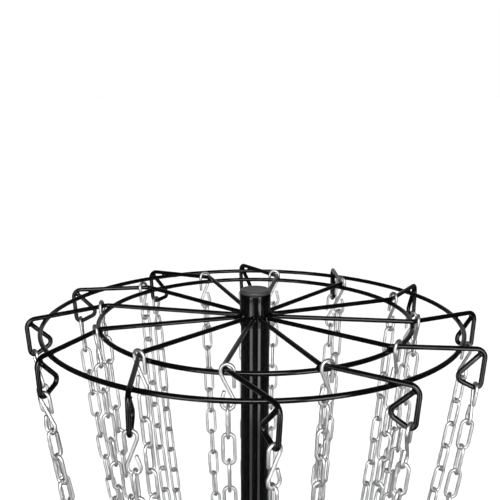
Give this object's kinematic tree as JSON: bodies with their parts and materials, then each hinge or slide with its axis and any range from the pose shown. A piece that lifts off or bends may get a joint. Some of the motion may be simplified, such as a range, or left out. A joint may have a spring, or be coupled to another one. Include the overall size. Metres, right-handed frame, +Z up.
{
  "type": "disc golf basket",
  "caption": "Free-standing disc golf target: wire chain support on a pole, hanging chains over a round wire tray, ring base.",
  "frame": {"origin": "on the ground, on the pole's axis", "axes": "+Z up along the pole, -Y towards the front, where the lock knobs are"},
  "size_m": [0.662, 0.662, 1.3573],
  "materials": {
    "black_powder_coat": "glossy black powder coat on steel tube and wire",
    "zinc_plated_steel": "bright zinc plate",
    "cap_plastic": "satin moulded plastic",
    "knob_plastic": "satin moulded plastic with a fine texture"
  },
  "bodies": {
    "base": {"base_socket": "black_powder_coat", "ground_ring": "black_powder_coat", "base_leg_1": "black_powder_coat", "base_leg_2": "black_powder_coat", "base_leg_3": "black_powder_coat", "base_leg_4": "black_powder_coat"},
    "base_lock_knob": {"base_lock_knob": "knob_plastic"},
    "lower_section": {"lower_pole": "black_powder_coat", "tray_stop": "black_powder_coat"},
    "tray": {"tray_wires": "black_powder_coat", "tray_rim": "black_powder_coat", "tray_side_ring": "black_powder_coat", "tray_corner_ring": "black_powder_coat", "tray_floor_ring": "black_powder_coat", "tray_sleeve": "black_powder_coat"},
    "tray_lock_knob": {"tray_lock_knob": "knob_plastic"},
    "chain_head": {"upper_pole": "black_powder_coat", "hub_sleeve": "black_powder_coat", "hub_cap": "cap_plastic", "outer_ring": "black_powder_coat", "inner_ring": "black_powder_coat", "support_arm_01": "black_powder_coat", "support_arm_02": "black_powder_coat", "support_arm_03": "black_powder_coat", "support_arm_04": "black_powder_coat", "support_arm_05": "black_powder_coat", "support_arm_06": "black_powder_coat", "support_arm_07": "black_powder_coat", "support_arm_08": "black_powder_coat", "support_arm_09": "black_powder_coat", "support_arm_10": "black_powder_coat", "support_arm_11": "black_powder_coat", "support_arm_12": "black_powder_coat", "chain_collar": "black_powder_coat", "chain_ring": "black_powder_coat", "collar_bolt": "zinc_plated_steel"},
    "outer_chain_01": {"outer_chain_01": "zinc_plated_steel"},
    "outer_chain_02": {"outer_chain_02": "zinc_plated_steel"},
    "outer_chain_03": {"outer_chain_03": "zinc_plated_steel"},
    "outer_chain_04": {"outer_chain_04": "zinc_plated_steel"},
    "outer_chain_05": {"outer_chain_05": "zinc_plated_steel"},
    "outer_chain_06": {"outer_chain_06": "zinc_plated_steel"},
    "outer_chain_07": {"outer_chain_07": "zinc_plated_steel"},
    "outer_chain_08": {"outer_chain_08": "zinc_plated_steel"},
    "outer_chain_09": {"outer_chain_09": "zinc_plated_steel"},
    "outer_chain_10": {"outer_chain_10": "zinc_plated_steel"},
    "outer_chain_11": {"outer_chain_11": "zinc_plated_steel"},
    "outer_chain_12": {"outer_chain_12": "zinc_plated_steel"},
    "inner_chain_01": {"inner_chain_01": "zinc_plated_steel"},
    "inner_chain_02": {"inner_chain_02": "zinc_plated_steel"},
    "inner_chain_03": {"inner_chain_03": "zinc_plated_steel"},
    "inner_chain_04": {"inner_chain_04": "zinc_plated_steel"},
    "inner_chain_05": {"inner_chain_05": "zinc_plated_steel"},
    "inner_chain_06": {"inner_chain_06": "zinc_plated_steel"},
    "inner_chain_07": {"inner_chain_07": "zinc_plated_steel"},
    "inner_chain_08": {"inner_chain_08": "zinc_plated_steel"},
    "inner_chain_09": {"inner_chain_09": "zinc_plated_steel"},
    "inner_chain_10": {"inner_chain_10": "zinc_plated_steel"},
    "inner_chain_11": {"inner_chain_11": "zinc_plated_steel"},
    "inner_chain_12": {"inner_chain_12": "zinc_plated_steel"}
  },
  "joints": [
    {"name": "lower_section_lift", "type": "slide", "parent": "base", "child": "lower_section", "axis": [0, 0, 1], "range_m": [0, 0.12]},
    {"name": "tray_slide", "type": "slide", "parent": "lower_section", "child": "tray", "axis": [0, 0, 1], "range_m": [0, 0.085]},
    {"name": "chain_head_lift", "type": "slide", "parent": "lower_section", "child": "chain_head", "axis": [0, 0, 1], "range_m": [0, 0.08]},
    {"name": "base_knob_turn", "type": "hinge", "parent": "base", "child": "base_lock_knob", "pos_m": [0, -0.036, 0.128], "axis": [0, -1, 0], "range_deg": [0, 360]},
    {"name": "tray_knob_turn", "type": "hinge", "parent": "tray", "child": "tray_lock_knob", "pos_m": [0, -0.036, 0.556], "axis": [0, -1, 0], "range_deg": [0, 360]},
    {"name": "outer_chain_01_swing", "type": "hinge", "parent": "chain_head", "child": "outer_chain_01", "pos_m": [0.01972, -0.28888, 1.27278], "axis": [0.0269, -0.3935, 0.9189], "range_deg": [-12, 12]},
    {"name": "outer_chain_02_swing", "type": "hinge", "parent": "chain_head", "child": "outer_chain_02", "pos_m": [0.16152, -0.24032, 1.27266], "axis": [0.2201, -0.3274, 0.9189], "range_deg": [-12, 12]},
    {"name": "outer_chain_03_swing", "type": "hinge", "parent": "chain_head", "child": "outer_chain_03", "pos_m": [0.26004, -0.12736, 1.27257], "axis": [0.3544, -0.1736, 0.9189], "range_deg": [-12, 12]},
    {"name": "outer_chain_04_swing", "type": "hinge", "parent": "chain_head", "child": "outer_chain_04", "pos_m": [0.28888, 0.01972, 1.27254], "axis": [0.3937, 0.0269, 0.9189], "range_deg": [-12, 12]},
    {"name": "outer_chain_05_swing", "type": "hinge", "parent": "chain_head", "child": "outer_chain_05", "pos_m": [0.24032, 0.16152, 1.27258], "axis": [0.3275, 0.2201, 0.9189], "range_deg": [-12, 12]},
    {"name": "outer_chain_06_swing", "type": "hinge", "parent": "chain_head", "child": "outer_chain_06", "pos_m": [0.12736, 0.26004, 1.27267], "axis": [0.1735, 0.3543, 0.9189], "range_deg": [-12, 12]},
    {"name": "outer_chain_07_swing", "type": "hinge", "parent": "chain_head", "child": "outer_chain_07", "pos_m": [-0.01972, 0.28888, 1.27279], "axis": [-0.0269, 0.3935, 0.9189], "range_deg": [-12, 12]},
    {"name": "outer_chain_08_swing", "type": "hinge", "parent": "chain_head", "child": "outer_chain_08", "pos_m": [-0.16152, 0.24032, 1.2729], "axis": [-0.22, 0.3273, 0.919], "range_deg": [-12, 12]},
    {"name": "outer_chain_09_swing", "type": "hinge", "parent": "chain_head", "child": "outer_chain_09", "pos_m": [-0.26004, 0.12736, 1.27298], "axis": [-0.3541, 0.1734, 0.919], "range_deg": [-12, 12]},
    {"name": "outer_chain_10_swing", "type": "hinge", "parent": "chain_head", "child": "outer_chain_10", "pos_m": [-0.28888, -0.01972, 1.273], "axis": [-0.3934, -0.0269, 0.919], "range_deg": [-12, 12]},
    {"name": "outer_chain_11_swing", "type": "hinge", "parent": "chain_head", "child": "outer_chain_11", "pos_m": [-0.24032, -0.16152, 1.27297], "axis": [-0.3273, -0.22, 0.919], "range_deg": [-12, 12]},
    {"name": "outer_chain_12_swing", "type": "hinge", "parent": "chain_head", "child": "outer_chain_12", "pos_m": [-0.12736, -0.26004, 1.27289], "axis": [-0.1735, -0.3542, 0.9189], "range_deg": [-12, 12]},
    {"name": "inner_chain_01_swing", "type": "hinge", "parent": "chain_head", "child": "inner_chain_01", "pos_m": [-0.03002, -0.20859, 1.3239], "axis": [-0.0355, -0.2466, 0.9685], "range_deg": [-6, 6]},
    {"name": "inner_chain_02_swing", "type": "hinge", "parent": "chain_head", "child": "inner_chain_02", "pos_m": [0.0783, -0.19565, 1.3239], "axis": [0.0926, -0.2313, 0.9685], "range_deg": [-6, 6]},
    {"name": "inner_chain_03_swing", "type": "hinge", "parent": "chain_head", "child": "inner_chain_03", "pos_m": [0.16563, -0.13029, 1.32389], "axis": [0.1958, -0.1541, 0.9685], "range_deg": [-6, 6]},
    {"name": "inner_chain_04_swing", "type": "hinge", "parent": "chain_head", "child": "inner_chain_04", "pos_m": [0.20859, -0.03002, 1.32389], "axis": [0.2466, -0.0355, 0.9685], "range_deg": [-6, 6]},
    {"name": "inner_chain_05_swing", "type": "hinge", "parent": "chain_head", "child": "inner_chain_05", "pos_m": [0.19565, 0.0783, 1.32389], "axis": [0.2313, 0.0926, 0.9685], "range_deg": [-6, 6]},
    {"name": "inner_chain_06_swing", "type": "hinge", "parent": "chain_head", "child": "inner_chain_06", "pos_m": [0.13029, 0.16563, 1.3239], "axis": [0.154, 0.1958, 0.9685], "range_deg": [-6, 6]},
    {"name": "inner_chain_07_swing", "type": "hinge", "parent": "chain_head", "child": "inner_chain_07", "pos_m": [0.03002, 0.20859, 1.32391], "axis": [0.0355, 0.2466, 0.9685], "range_deg": [-6, 6]},
    {"name": "inner_chain_08_swing", "type": "hinge", "parent": "chain_head", "child": "inner_chain_08", "pos_m": [-0.0783, 0.19565, 1.32391], "axis": [-0.0926, 0.2313, 0.9685], "range_deg": [-6, 6]},
    {"name": "inner_chain_09_swing", "type": "hinge", "parent": "chain_head", "child": "inner_chain_09", "pos_m": [-0.16563, 0.13029, 1.32392], "axis": [-0.1958, 0.154, 0.9685], "range_deg": [-6, 6]},
    {"name": "inner_chain_10_swing", "type": "hinge", "parent": "chain_head", "child": "inner_chain_10", "pos_m": [-0.20859, 0.03002, 1.32392], "axis": [-0.2466, 0.0355, 0.9685], "range_deg": [-6, 6]},
    {"name": "inner_chain_11_swing", "type": "hinge", "parent": "chain_head", "child": "inner_chain_11", "pos_m": [-0.19565, -0.0783, 1.32392], "axis": [-0.2313, -0.0926, 0.9685], "range_deg": [-6, 6]},
    {"name": "inner_chain_12_swing", "type": "hinge", "parent": "chain_head", "child": "inner_chain_12", "pos_m": [-0.13029, -0.16563, 1.32391], "axis": [-0.154, -0.1958, 0.9685], "range_deg": [-6, 6]}
  ]
}
